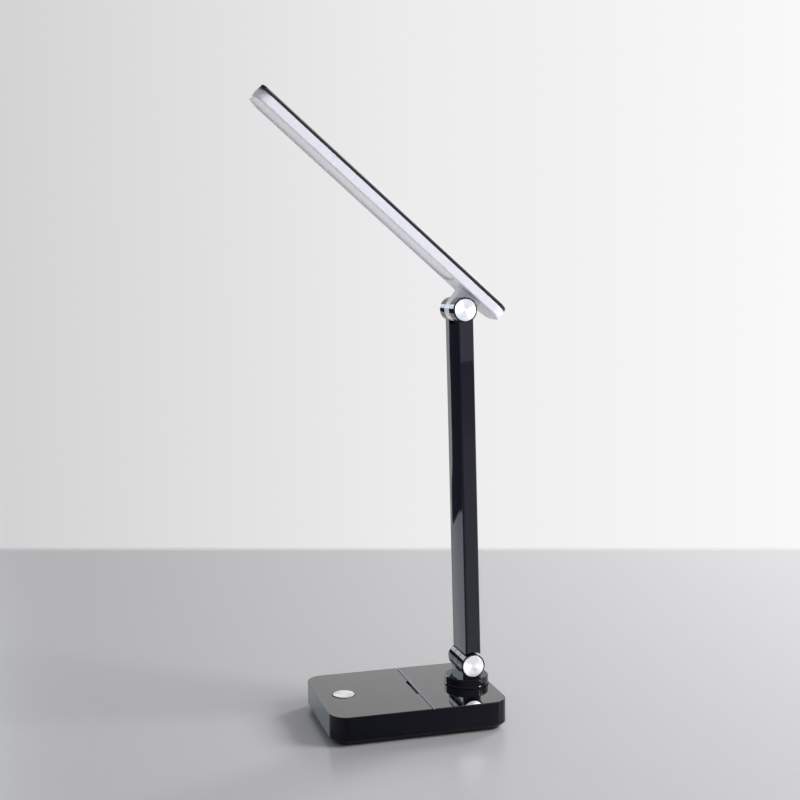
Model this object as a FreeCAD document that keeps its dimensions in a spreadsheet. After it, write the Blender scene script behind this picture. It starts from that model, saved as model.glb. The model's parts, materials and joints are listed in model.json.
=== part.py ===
"""Folding rechargeable desk lamp: a weighted base with a turning fork, a hinged arm and a light head.

Every piece is a solid of its own. Lengths are millimetres. The base's underside centre is the origin,
+Z is up, the hinge pins lie along X, and the light head reaches forward, towards -Y.
"""
import FreeCAD
import Part
import Sketcher
import os
import re

# Driving sizes: name, value, what it is
SIZES = [
    ("base_length", 121.4, "base, front to rear"),
    ("base_width", 91, "base, side to side"),
    ("base_height", 20, "desk to the base's top"),
    ("base_corner", 12, "corner radius of the base seen from above"),
    ("base_wall", 2.2, "side wall of the base"),
    ("base_edge", 0.5, "rounding along the base's top edges"),
    ("undercut", 3.4, "slope that draws the base in at its foot"),
    ("cover_rim", 0.4, "upright edge of the bottom cover above that slope"),
    ("lip_height", 1.6, "lip of the bottom cover inside the wall"),
    ("lip_thickness", 1.6, "thickness of that lip"),
    ("fit_gap", 0.15, "play between pieces that drop into each other"),
    ("grip_proud", 0.8, "what the rubber grip pad stands below the bottom cover"),
    ("grip_sink", 0.7, "what the grip pad sinks into the bottom cover"),
    ("grip_margin", 2.6, "flat border of the bottom cover round the grip pad"),
    ("boss_radius", 3.5, "screw boss inside the base"),
    ("boss_inset", 11.5, "boss centre from the base's outline"),
    ("screw_radius", 1.3, "case screw's shank"),
    ("screw_head", 2.4, "case screw's head radius"),
    ("screw_head_height", 1.4, "case screw's head"),
    ("screw_reach", 5.5, "case screw's thread in the boss"),
    ("panel_length", 67.7, "front panel, front edge to the seam"),
    ("panel_thickness", 2.4, "front panel"),
    ("panel_shelf", 2, "shelf of the housing under the panel"),
    ("seam_gap", 0.3, "seam between the panel and the deck"),
    ("seam_bevel", 0.7, "bevel along both sides of the seam"),
    ("pry_length", 28, "pry slot in the seam, side to side"),
    ("pry_width", 2.4, "pry slot, front to rear"),
    ("pry_depth", 1.8, "pry slot, downwards"),
    ("button_inset", 17.7, "button centre from the base's front edge"),
    ("button_radius", 7.3, "power button"),
    ("button_thickness", 2, "power button's cap"),
    ("button_proud", 0.6, "what the button stands above the panel"),
    ("button_gap", 0.45, "ring gap round the button"),
    ("button_travel", 0.6, "press of the button"),
    ("button_bevel", 0.35, "bevel round the button's rim"),
    ("plunger_radius", 3, "plunger under the button"),
    ("plunger_flange", 4.4, "flange that stops the plunger below the shelf"),
    ("plunger_flange_height", 1, "that flange's thickness"),
    ("plunger_toe", 0.5, "end of the plunger below its flange"),
    ("slide_gap", 0.08, "sliding play of the plunger"),
    ("switch_side", 6, "tact switch, square body"),
    ("switch_height", 3, "tact switch body"),
    ("switch_stem_radius", 1.7, "tact switch stem"),
    ("switch_stem_height", 1.2, "tact switch stem"),
    ("board_width", 46, "control board, side to side"),
    ("board_length", 27, "control board, front to rear"),
    ("board_thickness", 1.2, "control board"),
    ("post_radius", 2.4, "post that carries the control board"),
    ("post_inset", 3.5, "post centre from the board's edges"),
    ("ballast_width", 66, "steel ballast plate, side to side"),
    ("ballast_thickness", 3.2, "steel ballast plate"),
    ("inside_gap", 1.5, "room between the pieces inside the base"),
    ("battery_width", 50, "flat battery cell, side to side"),
    ("battery_margin", 8, "battery cell's front edge from the ballast's"),
    ("battery_thickness", 6, "flat battery cell"),
    ("battery_corner", 1.5, "rounding of the battery cell"),
    ("charge_width", 20, "charging board, side to side"),
    ("charge_length", 12, "charging board, front to rear"),
    ("charge_thickness", 1.2, "charging board"),
    ("charge_rest", 2.2, "height of the charging board's rests"),
    ("charge_rest_width", 3, "width of each rest"),
    ("port_width", 8.9, "charging socket, outside"),
    ("port_height", 3.3, "charging socket, outside"),
    ("port_length", 7.4, "charging socket, front to rear"),
    ("port_skin", 0.3, "charging socket's sheet metal"),
    ("port_tongue", 0.7, "contact tongue in the socket"),
    ("port_tongue_short", 1.4, "what the tongue stops short of the mouth"),
    ("port_back", 1.2, "closed end of the socket"),
    ("port_recess", 0.6, "socket mouth behind the rear wall's face"),
    ("port_gap", 0.25, "play of the socket in the rear wall"),
    ("swivel_inset", 15.7, "swivel centre from the base's rear edge"),
    ("flange_radius", 15.5, "flange at the foot of the swivel collar"),
    ("flange_height", 0.9, "that flange, with its sloped edge"),
    ("collar_radius", 15.1, "swivel collar"),
    ("collar_height", 6.2, "swivel collar's top above the base's top"),
    ("collar_bevel", 0.5, "bevel round the collar's top"),
    ("glide_thickness", 0.25, "slip washer under the collar"),
    ("spindle_radius", 6, "spindle through the base's deck"),
    ("spindle_bore", 2.2, "wire passage in the spindle"),
    ("turn_gap", 0.08, "running play of spindles and pins"),
    ("face_gap", 0.05, "play between faces that slide on each other"),
    ("spring_washer", 0.5, "spring washer under the deck"),
    ("nut_radius", 9.5, "ring nut under the deck"),
    ("nut_height", 2, "ring nut"),
    ("axis_height", 15.8, "lower hinge pin above the base's top"),
    ("joint_length", 30.1, "hinge barrels, end to end"),
    ("ear_radius", 8.4, "hinge barrels"),
    ("knuckle_bevel", 0.35, "edges of the knuckles between the ears"),
    ("ear_bevel", 0.45, "bevel round the barrel ends"),
    ("knuckle_length", 10, "middle knuckle of each hinge"),
    ("side_gap", 0.3, "play beside a knuckle"),
    ("swing_gap", 0.5, "play round a knuckle or a barrel"),
    ("pin_radius", 2.5, "hinge pins"),
    ("cap_radius", 7.45, "metal disc on the barrel ends"),
    ("cap_thickness", 1.2, "metal disc"),
    ("cap_proud", 0.2, "what the disc stands out of the barrel"),
    ("cap_gap", 0.1, "play round the disc"),
    ("cap_bevel", 0.25, "bevel round the disc"),
    ("washer_radius", 7, "friction washer in the hinges"),
    ("column_width", 26.4, "column between collar and lower barrel"),
    ("column_thickness", 12.8, "column, front to rear"),
    ("column_round", 1.5, "upright edges of the column"),
    ("arm_pitch", 244, "hinge pin to hinge pin"),
    ("arm_width", 29.2, "arm, side to side"),
    ("arm_front", 4.8, "arm's front corners before the line of its pins"),
    ("arm_rear", 5.9, "arm's flat rear face behind that line"),
    ("arm_crown", 0.35, "what the arm's front swells between its corners"),
    ("arm_round", 1.4, "long edges of the arm"),
    ("foot_gap", 1.3, "gap between the arm's foot and the lower barrel"),
    ("tongue_thickness", 6.6, "tongue between the arm and its lower knuckle"),
    ("fork_depth", 9.6, "fork slot at the arm's top, below the pin"),
    ("cover_width", 24, "rear cover of the arm"),
    ("cover_thickness", 1.6, "rear cover of the arm"),
    ("cover_margin", 15, "rear cover's ends from the hinge pins"),
    ("cover_corner", 2, "corners of the rear cover"),
    ("channel_width", 19, "wire channel in the arm"),
    ("channel_depth", 3.6, "wire channel below its cover"),
    ("channel_margin", 9, "wire channel's ends from the cover's ends"),
    ("arm_screw_radius", 1, "arm screw's shank"),
    ("arm_screw_head", 2, "arm screw's head radius"),
    ("arm_screw_head_height", 0.9, "arm screw's head"),
    ("arm_screw_reach", 3, "arm screw's thread in the arm"),
    ("wire_radius", 0.9, "insulated wire in the arm"),
    ("wire_pitch", 3, "the two wires, centre to centre"),
    ("head_width", 29.4, "light head, side to side"),
    ("head_reach", 194.8, "hinge pin to the head's tip"),
    ("head_tail", 24.2, "hinge pin to the head's tail"),
    ("head_rise", 11.2, "hinge pin to the head's underside"),
    ("head_corner", 9.5, "corner radius of the head seen from above"),
    ("frame_height", 6.4, "white frame of the head"),
    ("frame_wall", 1.5, "side wall of the frame"),
    ("frame_floor", 1.2, "rim and floor of the frame"),
    ("frame_edge", 0.8, "rounding along the frame's lower edge"),
    ("frame_rim", 2.3, "rim round the light window"),
    ("window_start", 17, "light window's end from the hinge pin"),
    ("window_corner", 7, "corners of the light window at the tip"),
    ("lid_height", 2.5, "dark top cover of the head"),
    ("lid_edge", 0.7, "rounding along the top cover"),
    ("lid_corner", 3.5, "corner radius of the top cover's tip, sharper than the frame's"),
    ("lid_recess", 1, "recess for the light board in the top cover"),
    ("diffuser_thickness", 1.5, "milky diffuser"),
    ("diffuser_lap", 0.5, "what the diffuser laps over the rim"),
    ("light_board_width", 20, "light board"),
    ("light_board_margin", 9, "light board's ends from the window's ends"),
    ("chip_length", 3.5, "light chip along the head"),
    ("chip_width", 2.8, "light chip across the head"),
    ("chip_height", 0.7, "light chip"),
    ("chip_row_pitch", 10, "the two rows of chips, centre to centre"),
    ("neck_front", 9.2, "neck's front foot from the hinge pin"),
    ("neck_rear", 8.5, "neck's rear foot from the hinge pin"),
    ("neck_screw_radius", 1.1, "neck screw's shank"),
    ("neck_screw_head", 2.1, "neck screw's head radius"),
    ("neck_screw_head_height", 1.2, "neck screw's head"),
    ("neck_screw_reach", 4, "neck screw's thread in the neck"),
    ("neck_screw_pitch", 9, "the two neck screws, centre to centre"),
    ("overrun", 1, "what cutting shapes reach past the solid"),
    ("arm_lean", 1.07, "forward lean of the arm, degrees"),
    ("head_tilt", 41.5, "the head's tip up from level, degrees"),
    ("chip_count", 16, "light chips in a row"),
]
NAMES = {name for name, _, _ in SIZES}
PLACE_TOLERANCE_SHARE = 1e-6

doc = FreeCAD.newDocument("desk_lamp")
sheet = doc.addObject("Spreadsheet::Sheet", "dims")
for row, (name, number, meaning) in enumerate(SIZES, 1):
    sheet.set(f"A{row}", name)
    sheet.set(f"B{row}", str(number))
    sheet.setAlias(f"B{row}", name)
    sheet.set(f"C{row}", meaning)
doc.recompute()

pieces = []


# Expressions on the sheet
def bound(text):
    """The expression with each size's name pointed at the sheet."""
    return re.sub(r"[a-z][a-z_]+", lambda m: "dims." + m[0] if m[0] in NAMES else m[0], text)


def value(text):
    """The number that an expression gives now."""
    return float(sheet.evalExpression(text))


def bind(thing, prop, text):
    thing.setExpression(prop, bound(text))


# Frames: where the pieces of each moving group have their own origin
HALF_WIDTH = "base_width / 2"
HALF_LENGTH = "base_length / 2"
COVER_TOP = "(grip_proud + undercut + cover_rim)"
SHELF_TOP = "(base_height - panel_thickness)"
CEILING = "(base_height - panel_thickness - panel_shelf)"
SWIVEL_Y = "(base_length / 2 - swivel_inset)"
BUTTON_Y = "(button_inset - base_length / 2)"
SEAM_Y = "(panel_length - base_length / 2)"
LOWER_AXIS_Z = "(base_height + axis_height)"
FRAMES = {
    "base": ("0", "0", "0"),
    "swivel": (SWIVEL_Y, "base_height", "0"),
    "fork_axis": (SWIVEL_Y, LOWER_AXIS_Z, "0"),
    "arm": (SWIVEL_Y, LOWER_AXIS_Z, "arm_lean"),
    "arm_top": (f"{SWIVEL_Y} - arm_pitch * sin(arm_lean * 1 deg)",
                f"{LOWER_AXIS_Z} + arm_pitch * cos(arm_lean * 1 deg)", "arm_lean"),
    "head": (f"{SWIVEL_Y} - arm_pitch * sin(arm_lean * 1 deg)",
             f"{LOWER_AXIS_Z} + arm_pitch * cos(arm_lean * 1 deg)", "-head_tilt"),
}


def finish(piece, label, frame):
    """Names a finished piece and puts it in its group's frame."""
    y, z, turn = FRAMES[frame]
    piece.Label = label
    piece.Placement.Rotation = FreeCAD.Rotation(FreeCAD.Vector(1, 0, 0), 0)
    bind(piece, "Placement.Base.y", y)
    bind(piece, "Placement.Base.z", z)
    bind(piece, "Placement.Rotation.Axis.x", "1")
    bind(piece, "Placement.Rotation.Axis.z", "0")
    bind(piece, "Placement.Rotation.Angle", turn)
    pieces.append(piece)
    return piece


# Sketch outlines
def hold(drawing, geometry, point, x, y):
    """Fixes a sketch point at two expressions from the sketch's origin."""
    for kind, axis, text in (("DistanceX", -2, x), ("DistanceY", -1, y)):
        if text == "0":
            drawing.addConstraint(Sketcher.Constraint("PointOnObject", geometry, point, axis))
        else:
            index = drawing.addConstraint(Sketcher.Constraint(kind, -1, 1, geometry, point, value(text)))
            bind(drawing, f"Constraints[{index}]", text)


def circle(radius, x="0", y="0"):
    """Draws a circle about a point."""
    def draw(drawing):
        centre = FreeCAD.Vector(value(x), value(y), 0)
        ring = drawing.addGeometry(Part.Circle(centre, FreeCAD.Vector(0, 0, 1), value(radius)))
        hold(drawing, ring, 3, x, y)
        index = drawing.addConstraint(Sketcher.Constraint("Radius", ring, value(radius)))
        bind(drawing, f"Constraints[{index}]", radius)
    return draw


def outline(*corners):
    """Draws a closed outline of straight lines through its corners."""
    def draw(drawing):
        points = [FreeCAD.Vector(value(x), value(y), 0) for x, y in corners]
        ends = zip(points, points[1:] + points[:1])
        lines = [drawing.addGeometry(Part.LineSegment(a, b)) for a, b in ends]
        for line, following in zip(lines, lines[1:] + lines[:1]):
            drawing.addConstraint(Sketcher.Constraint("Coincident", line, 2, following, 1))
        for line, (x, y) in zip(lines, corners):
            hold(drawing, line, 1, x, y)
    return draw


def rectangle(x0, x1, y0, y1):
    """Draws a rectangle between two places across and two along."""
    return outline((x0, y0), (x1, y0), (x1, y1), (x0, y1))


def rounded(x0, x1, y0, y1, radius):
    """Draws a rectangle whose corners are quarter circles."""
    def draw(drawing):
        a, b, c, d, r = (value(text) for text in (x0, x1, y0, y1, radius))
        ends = [((a + r, c), (b - r, c)), ((b, c + r), (b, d - r)),
                ((b - r, d), (a + r, d)), ((a, d - r), (a, c + r))]
        lines = [drawing.addGeometry(Part.LineSegment(FreeCAD.Vector(*p, 0), FreeCAD.Vector(*q, 0)))
                 for p, q in ends]
        arcs = []
        turns = ((b - r, c + r, 270), (b - r, d - r, 0), (a + r, d - r, 90), (a + r, c + r, 180))
        for x, y, start in turns:
            ring = Part.Circle(FreeCAD.Vector(x, y, 0), FreeCAD.Vector(0, 0, 1), r)
            first = FreeCAD.Units.Quantity(f"{start} deg").getValueAs("rad").Value
            last = FreeCAD.Units.Quantity(f"{start + 90} deg").getValueAs("rad").Value
            arcs.append(drawing.addGeometry(Part.ArcOfCircle(ring, first, last)))
        for i, arc in enumerate(arcs):
            drawing.addConstraint(Sketcher.Constraint("Tangent", lines[i], 2, arc, 1))
            drawing.addConstraint(Sketcher.Constraint("Tangent", arc, 2, lines[(i + 1) % 4], 1))
        for arc in arcs[1:]:
            drawing.addConstraint(Sketcher.Constraint("Equal", arcs[0], arc))
        index = drawing.addConstraint(Sketcher.Constraint("Radius", arcs[0], r))
        bind(drawing, f"Constraints[{index}]", radius)
        for line, kind in zip(lines, ("Horizontal", "Vertical") * 2):
            drawing.addConstraint(Sketcher.Constraint(kind, line))
        for line, kind, text in zip(lines, ("DistanceY", "DistanceX") * 2, (y0, x1, y1, x0)):
            index = drawing.addConstraint(Sketcher.Constraint(kind, -1, 1, line, 1, value(text)))
            bind(drawing, f"Constraints[{index}]", text)
    return draw


def bow(x0, x1, y, swell):
    """Draws a straight chord and the arc that swells in front of it."""
    def draw(drawing):
        a, b, c, s = (value(text) for text in (x0, x1, y, swell))
        left, right, front = (FreeCAD.Vector(*place, 0) for place in ((a, c), (b, c), ((a + b) / 2, c - s)))
        chord = drawing.addGeometry(Part.LineSegment(right, left))
        arc = drawing.addGeometry(Part.Arc(left, front, right))
        first, last = (1, 2) if drawing.Geometry[arc].StartPoint.isEqual(left, s) else (2, 1)
        drawing.addConstraint(Sketcher.Constraint("Coincident", chord, 2, arc, first))
        drawing.addConstraint(Sketcher.Constraint("Coincident", chord, 1, arc, last))
        hold(drawing, chord, 1, x1, y)
        hold(drawing, chord, 2, x0, y)
        half = f"(({x1}) - ({x0})) / 2"
        radius = f"(({half})^2 + ({swell})^2) / (2 * ({swell}))"
        index = drawing.addConstraint(Sketcher.Constraint("Radius", arc, value(radius)))
        bind(drawing, f"Constraints[{index}]", radius)
    return draw


# Features of a body
def new_body(name):
    return doc.addObject("PartDesign::Body", name)


def sketch(body, name, plane, height, *shapes):
    """A sketch on one of the body's own planes, lifted along the plane's normal."""
    drawing = body.newObject("Sketcher::SketchObject", name)
    origin = next(f for f in body.Origin.OriginFeatures if f.Role == plane + "_Plane")
    drawing.AttachmentSupport = [(origin, "")]
    drawing.MapMode = "FlatFace"
    bind(drawing, "AttachmentOffset.Base.z", height)
    for draw in shapes:
        draw(drawing)
    return drawing


def extrude(body, kind, name, plane, low, high, *shapes):
    """Pads or pockets outlines from one height to another along a plane's normal."""
    feature = body.newObject("PartDesign::" + kind, f"{body.Name}_{name}")
    feature.Profile = sketch(body, f"{body.Name}_{name}_sketch", plane, low, *shapes)
    feature.Reversed = kind == "Pocket"
    bind(feature, "Length", f"({high}) - ({low})")
    before = body.Tip.BaseFeature.Shape.Volume if body.Tip.BaseFeature else 0
    doc.recompute()
    change = feature.Shape.Volume - before
    if (change < 0) != (kind == "Pocket"):
        raise ValueError(f"{feature.Name} changed the volume by {change}")
    return feature


def pad(body, name, plane, low, high, *shapes):
    return extrude(body, "Pad", name, plane, low, high, *shapes)


def pocket(body, name, plane, low, high, *shapes):
    return extrude(body, "Pocket", name, plane, low, high, *shapes)


def revolve(body, name, *corners):
    """Turns a half section, given as radius and height, about the body's upright axis."""
    drawing = sketch(body, f"{body.Name}_{name}_sketch", "XZ", "0", outline(*corners))
    feature = body.newObject("PartDesign::Revolution", f"{body.Name}_{name}")
    feature.Profile = drawing
    feature.ReferenceAxis = (drawing, ["V_Axis"])
    doc.recompute()
    return feature


def soften(body, kind, name, size, chosen):
    """Fillets or chamfers the edges of the body so far that a test picks."""
    tip = body.Tip
    edges = [f"Edge{i}" for i, edge in enumerate(tip.Shape.Edges, 1) if chosen(edge)]
    feature = body.newObject("PartDesign::" + kind, f"{body.Name}_{name}")
    feature.Base = (tip, edges)
    bind(feature, "Radius" if kind == "Fillet" else "Size", size)
    doc.recompute()
    return feature


def near(a, b):
    """Whether two places are the same, for picking edges."""
    return abs(a - b) < PLACE_TOLERANCE_SHARE * value("base_length")


def level_at(text):
    """Picks edges that lie flat at a height."""
    height = value(text)
    return lambda edge: near(edge.BoundBox.ZMin, height) and near(edge.BoundBox.ZMax, height)


def lug_edges(text, foot):
    """Picks the edges round the two sides of a lug, without those on its foot."""
    side, height = value(text), value(foot)

    def chosen(edge):
        box = edge.BoundBox
        return near(box.XMin, box.XMax) and near(abs(box.XMin), side) and not near(box.ZMin, height)
    return chosen


def end_rings(text, radius):
    """Picks the circles of one radius that lie across X at plus and minus a place."""
    place, size = value(text), value(radius)

    def chosen(edge):
        box = edge.BoundBox
        return (near(box.XMin, box.XMax) and near(abs(box.XMin), place)
                and hasattr(edge.Curve, "Radius") and near(edge.Curve.Radius, size))
    return chosen


# Plain solids and booleans
def block(name, x0, x1, y0, y1, z0, z1):
    """A box between two places along each axis."""
    solid = doc.addObject("Part::Box", name)
    sides = ("Length", "x", x0, x1), ("Width", "y", y0, y1), ("Height", "z", z0, z1)
    for side, axis, low, high in sides:
        bind(solid, side, f"({high}) - ({low})")
        bind(solid, "Placement.Base." + axis, low)
    return solid


def rod(name, axis, radius, low, high, a="0", b="0"):
    """A cylinder along an axis between two places, about a point on the other two axes."""
    solid = doc.addObject("Part::Cylinder", name)
    bind(solid, "Radius", radius)
    bind(solid, "Height", f"({high}) - ({low})")
    places = {"x": (low, a, b), "y": (a, low, b), "z": (a, b, low)}[axis]
    towards = {"x": (1, 0, 0), "y": (0, 1, 0), "z": (0, 0, 1)}[axis]
    solid.Placement.Rotation = FreeCAD.Rotation(FreeCAD.Vector(0, 0, 1), FreeCAD.Vector(*towards))
    for letter, text in zip("xyz", places):
        bind(solid, "Placement.Base." + letter, text)
    return solid


def join(name, *solids):
    whole = doc.addObject("Part::MultiFuse", name)
    whole.Shapes = list(solids)
    return whole


def group(name, *solids):
    """Separate solids that share one piece's name."""
    whole = doc.addObject("Part::Compound", name)
    whole.Links = list(solids)
    return whole


def cut(name, base, tool):
    left = doc.addObject("Part::Cut", name)
    left.Base = base
    left.Tool = tool
    return left


def corners_of(inset):
    """The four places that lie an inset inside the base's outline."""
    x, y = f"({HALF_WIDTH} - {inset})", f"({HALF_LENGTH} - {inset})"
    return [(f"{i} * {x}", f"{j} * {y}") for i in (-1, 1) for j in (-1, 1)]


def base_outline(inset):
    """The base's rounded outline, drawn in by an inset."""
    x, y = f"{HALF_WIDTH} - ({inset})", f"{HALF_LENGTH} - ({inset})"
    return rounded(f"-({x})", x, f"-({y})", y, f"base_corner - ({inset})")


def sheet_piece(label, frame, plane, low, high, *shapes):
    """A piece that is one pad of its outline."""
    body = new_body(f"{label}_body")
    pad(body, "sheet", plane, low, high, *shapes)
    return finish(body, label, frame)


# Base: housing, front panel and bottom cover
BOARD_TOP = f"({CEILING} - face_gap - plunger_flange_height - plunger_toe - button_travel - face_gap" \
            " - switch_stem_height - switch_height)"
BOARD_REAR = f"({BUTTON_Y} + board_length / 2)"
BOARD_FRONT = f"({BUTTON_Y} - board_length / 2)"
PORT_LOW = f"({COVER_TOP} + charge_rest + charge_thickness)"
CHARGE_REAR = f"({HALF_LENGTH} - base_wall - fit_gap - lip_thickness)"
CHARGE_FRONT = f"({CHARGE_REAR} - charge_length)"
GRIP_TOP = "(grip_proud + grip_sink)"
SCREW_SEAT = f"({GRIP_TOP} + screw_head_height + face_gap)"


def board_posts():
    x, y = "(board_width / 2 - post_inset)", "(board_length / 2 - post_inset)"
    return [(f"{i} * {x}", f"{BUTTON_Y} + {j} * {y}") for i in (-1, 1) for j in (-1, 1)]


def base_housing():
    body = new_body("base_housing")
    pad(body, "block", "XY", COVER_TOP, "base_height", base_outline("0"))
    step = rectangle(f"-{HALF_WIDTH} - overrun", f"{HALF_WIDTH} + overrun",
                     f"-{HALF_LENGTH} - overrun", f"{SEAM_Y} + seam_gap")
    pocket(body, "panel_step", "XY", SHELF_TOP, "base_height + overrun", step)
    seam = value(f"{SEAM_Y} + seam_gap")
    top = level_at("base_height")
    soften(body, "Fillet", "top_edge", "base_edge",
           lambda e: top(e) and not near(e.BoundBox.YMax, seam))
    bevel = outline((f"{SEAM_Y} + seam_gap", "base_height - seam_bevel"),
                    (f"{SEAM_Y} + seam_gap + seam_bevel + overrun", "base_height + overrun"),
                    (f"{SEAM_Y} + seam_gap", "base_height + overrun"))
    pocket(body, "seam_bevel", "YZ", f"-{HALF_WIDTH} - overrun", f"{HALF_WIDTH} + overrun", bevel)
    pocket(body, "cavity", "XY", f"{COVER_TOP} - overrun", CEILING, base_outline("base_wall"))
    pocket(body, "spindle_hole", "XY", f"{CEILING} - overrun", "base_height + overrun",
           circle("spindle_radius + turn_gap", "0", SWIVEL_Y))
    pocket(body, "plunger_hole", "XY", f"{CEILING} - overrun", f"{SHELF_TOP} + overrun",
           circle("plunger_radius + slide_gap", "0", BUTTON_Y))
    port = "port_height / 2 + port_gap"
    middle = f"{PORT_LOW} + port_height / 2"
    pocket(body, "port_hole", "XZ", f"-{HALF_LENGTH} - overrun",
           f"-{HALF_LENGTH} + base_wall + overrun",
           rounded("-port_width / 2 - port_gap", "port_width / 2 + port_gap",
                   f"{middle} - ({port})", f"{middle} + {port}", f"{port} - face_gap"))
    pad(body, "bosses", "XY", COVER_TOP, f"{CEILING} + face_gap",
        *[circle("boss_radius", x, y) for x, y in corners_of("boss_inset")])
    pocket(body, "boss_holes", "XY", f"{COVER_TOP} - overrun", f"{COVER_TOP} + screw_reach + face_gap",
           *[circle("screw_radius + face_gap", x, y) for x, y in corners_of("boss_inset")])
    pad(body, "board_posts", "XY", BOARD_TOP, f"{CEILING} + face_gap",
        *[circle("post_radius", x, y) for x, y in board_posts()])
    finish(body, "base_housing", "base")


def front_panel():
    body = new_body("front_panel")
    pad(body, "plate", "XY", SHELF_TOP, "base_height", base_outline("0"))
    pocket(body, "rear_part", "XY", f"{SHELF_TOP} - overrun", "base_height + overrun",
           rectangle(f"-{HALF_WIDTH} - overrun", f"{HALF_WIDTH} + overrun",
                     SEAM_Y, f"{HALF_LENGTH} + overrun"))
    seam = value(SEAM_Y)
    top = level_at("base_height")
    soften(body, "Fillet", "top_edge", "base_edge",
           lambda e: top(e) and not near(e.BoundBox.YMin, seam))
    bevel = outline((SEAM_Y, "base_height - seam_bevel"), (SEAM_Y, "base_height + overrun"),
                    (f"{SEAM_Y} - seam_bevel - overrun", "base_height + overrun"))
    pocket(body, "seam_bevel", "YZ", f"-{HALF_WIDTH} - overrun", f"{HALF_WIDTH} + overrun", bevel)
    pocket(body, "pry_slot", "XY", "base_height - pry_depth", "base_height + overrun",
           rectangle("-pry_length / 2", "pry_length / 2",
                     f"{SEAM_Y} - pry_width", f"{SEAM_Y} + overrun"))
    pocket(body, "button_hole", "XY", f"{SHELF_TOP} - overrun", "base_height + overrun",
           circle("button_radius + button_gap", "0", BUTTON_Y))
    rim = value("button_radius + button_gap")
    soften(body, "Chamfer", "button_bevel", "button_bevel",
           lambda e: top(e) and hasattr(e.Curve, "Radius") and near(e.Curve.Radius, rim))
    finish(body, "front_panel", "base")


def bottom_cover():
    body = new_body("bottom_cover")
    pad(body, "plate", "XY", "grip_proud", COVER_TOP, base_outline("0"))
    soften(body, "Chamfer", "undercut", "undercut", level_at("grip_proud"))
    pad(body, "lip", "XY", f"{COVER_TOP} - face_gap", f"{COVER_TOP} + lip_height",
        base_outline("base_wall + fit_gap"), base_outline("base_wall + fit_gap + lip_thickness"))
    rest_x = "(charge_width / 2 - charge_rest_width)"
    rests = ("left", "-charge_width / 2", f"-{rest_x}"), ("right", rest_x, "charge_width / 2")
    for side, x0, x1 in rests:
        pad(body, f"charge_rest_{side}", "XY", f"{COVER_TOP} - face_gap", f"{COVER_TOP} + charge_rest",
            rectangle(x0, x1, CHARGE_FRONT, f"{CHARGE_REAR} + lip_thickness / 2"))
    screws = corners_of("boss_inset")
    pocket(body, "screw_holes", "XY", "grip_proud - overrun", f"{COVER_TOP} + overrun",
           *[circle("screw_radius + fit_gap", x, y) for x, y in screws])
    pocket(body, "screw_heads", "XY", "grip_proud - overrun", SCREW_SEAT,
           *[circle("screw_head + fit_gap", x, y) for x, y in screws])
    pocket(body, "grip_seat", "XY", "grip_proud - overrun", GRIP_TOP,
           base_outline("undercut + grip_margin"))
    finish(body, "bottom_cover", "base")


def base_fasteners_and_grip():
    screws = []
    for i, (x, y) in enumerate(corners_of("boss_inset")):
        head = rod(f"case_head_{i}", "z", "screw_head", f"{SCREW_SEAT} - screw_head_height",
                   SCREW_SEAT, x, y)
        shank = rod(f"case_shank_{i}", "z", "screw_radius", f"{SCREW_SEAT} - face_gap",
                    f"{COVER_TOP} + screw_reach", x, y)
        screws.append(join(f"case_screw_{i}", head, shank))
    finish(group("case_screw_group", *screws), "bottom_screws", "base")
    sheet_piece("grip_pad", "base", "XY", "0", GRIP_TOP,
                base_outline("undercut + grip_margin + fit_gap"))


# Base: what it holds inside
def base_contents():
    ballast_front = f"({BOARD_REAR} + inside_gap)"
    ballast_top = f"({COVER_TOP} + ballast_thickness)"
    sheet_piece("ballast_plate", "base", "XY", COVER_TOP, ballast_top,
                rectangle("-ballast_width / 2", "ballast_width / 2",
                          ballast_front, f"{CHARGE_FRONT} - inside_gap"))
    sheet_piece("battery_cell", "base", "XY", ballast_top, f"{ballast_top} + battery_thickness",
                rounded("-battery_width / 2", "battery_width / 2", f"{ballast_front} + battery_margin",
                        f"{SWIVEL_Y} - nut_radius - inside_gap", "battery_corner"))
    sheet_piece("control_board", "base", "XY", f"{BOARD_TOP} - board_thickness", BOARD_TOP,
                rectangle("-board_width / 2", "board_width / 2", BOARD_FRONT, BOARD_REAR))
    half = "switch_side / 2"
    case = block("switch_case", f"-{half}", half, f"{BUTTON_Y} - {half}", f"{BUTTON_Y} + {half}",
                 BOARD_TOP, f"{BOARD_TOP} + switch_height")
    stem = rod("switch_stem", "z", "switch_stem_radius", f"{BOARD_TOP} + switch_height - face_gap",
               f"{BOARD_TOP} + switch_height + switch_stem_height", "0", BUTTON_Y)
    finish(join("switch", case, stem), "tact_switch", "base")


def charging_port():
    sheet_piece("charging_board", "base", "XY", f"{COVER_TOP} + charge_rest", PORT_LOW,
                rectangle("-charge_width / 2", "charge_width / 2", CHARGE_FRONT, CHARGE_REAR))
    mouth, half = f"({HALF_LENGTH} - port_recess)", "port_height / 2"
    middle = f"{PORT_LOW} + {half}"
    body = new_body("port")
    pad(body, "shell", "XZ", f"-{mouth}", f"-{mouth} + port_length",
        rounded("-port_width / 2", "port_width / 2", PORT_LOW, f"{PORT_LOW} + port_height",
                f"{half} - face_gap"))
    pocket(body, "mouth", "XZ", f"-{mouth} - overrun", f"-{mouth} + port_length - port_back",
           rounded("-port_width / 2 + port_skin", "port_width / 2 - port_skin",
                   f"{PORT_LOW} + port_skin", f"{PORT_LOW} + port_height - port_skin",
                   f"{half} - port_skin - face_gap"))
    tongue = "(port_width / 2 - port_height / 2)"
    pad(body, "tongue", "XZ", f"-{mouth} + port_tongue_short",
        f"-{mouth} + port_length - port_back + face_gap",
        rectangle(f"-{tongue}", tongue, f"{middle} - port_tongue / 2", f"{middle} + port_tongue / 2"))
    finish(body, "charging_socket", "base")


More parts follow.
